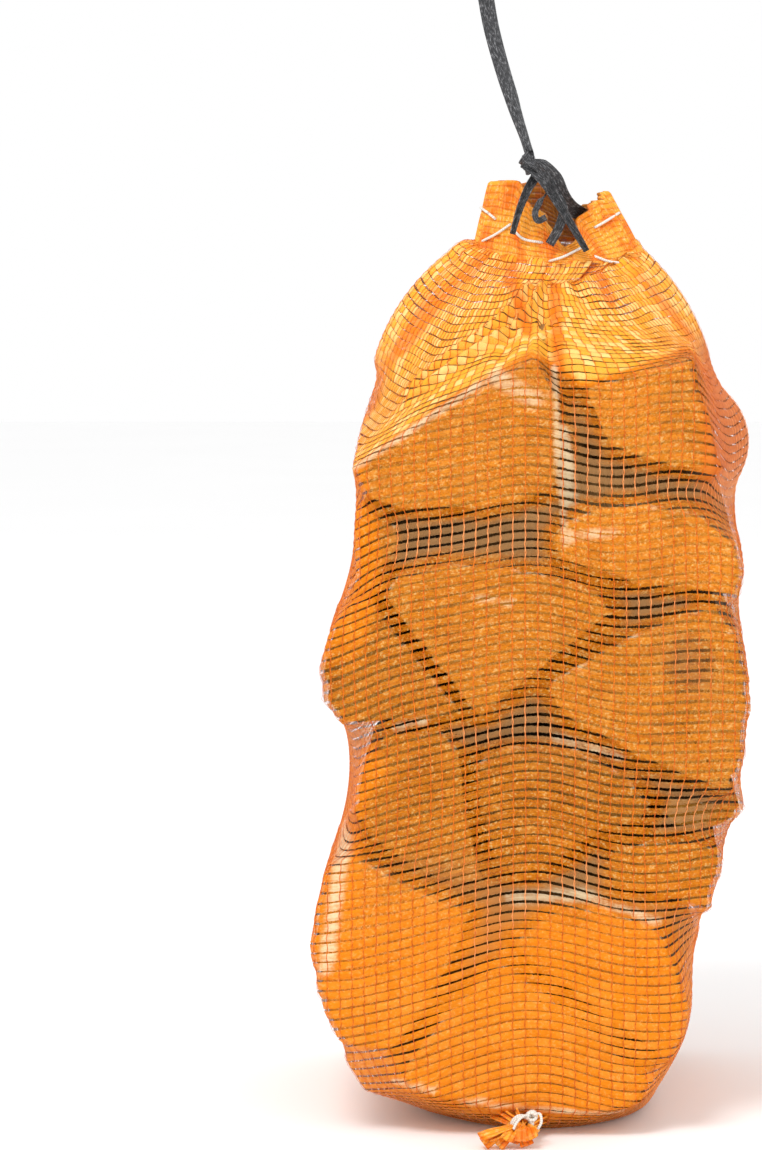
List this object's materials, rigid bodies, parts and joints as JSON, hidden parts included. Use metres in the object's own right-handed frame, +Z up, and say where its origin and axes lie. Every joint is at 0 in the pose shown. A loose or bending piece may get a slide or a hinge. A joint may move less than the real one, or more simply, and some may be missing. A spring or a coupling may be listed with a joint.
{
  "type": "firewood bundle in a net bag",
  "caption": "Upright bundle of split firewood logs in an orange leno net bag, its hem gathered and tied with a dark flat drawstring.",
  "frame": {"origin": "centre of the bag's footprint on the surface that it stands on", "axes": "+Z up the bag to its tied mouth, -Y towards the sawn log ends that the picture shows, +X to their right"},
  "size_m": [0.2646, 0.285, 0.724],
  "materials": {
    "wood": "dry split and sawn wood",
    "net": "woven translucent tape",
    "thread": "twisted sewing thread",
    "tape": "woven flat tape"
  },
  "bodies": {
    "root": {"log_top_left": "wood", "log_top_right": "wood", "log_upper_left": "wood", "log_upper_right": "wood", "log_center": "wood", "log_left": "wood", "log_right": "wood", "log_lower_left": "wood", "log_lower_center": "wood", "log_stick": "wood", "log_lower_right": "wood", "log_bottom_left": "wood", "log_bottom": "wood", "log_bottom_right": "wood", "net_bag": "net", "hem_thread": "thread", "bottom_tie": "thread", "drawstring": "tape", "drawstring_tail": "tape", "drawstring_loop": "tape"}
  },
  "joints": []
}
